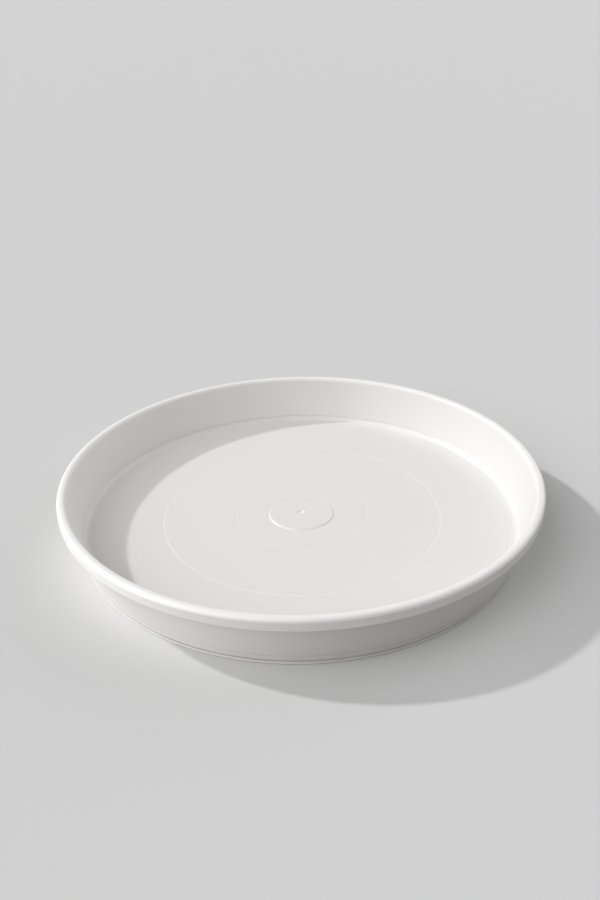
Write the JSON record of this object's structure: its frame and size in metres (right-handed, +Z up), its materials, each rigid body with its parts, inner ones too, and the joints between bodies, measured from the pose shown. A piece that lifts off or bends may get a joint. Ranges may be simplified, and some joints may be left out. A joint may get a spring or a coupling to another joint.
{
  "type": "plant saucer",
  "caption": "Shallow round plastic saucer with a leaning wall, a turned-over rim and a foot ring, made to stand under a plant pot and catch its water.",
  "frame": {"origin": "centre of the foot ring, on the plane that the saucer stands on", "axes": "+Z up along the axis of the round; X and Y are any two square directions, because the part is the same all the way round"},
  "size_m": [0.3, 0.3, 0.039],
  "materials": {
    "white_plastic": "satin moulded polypropylene, slightly warm white"
  },
  "bodies": {
    "root": {"saucer": "white_plastic"}
  },
  "joints": []
}
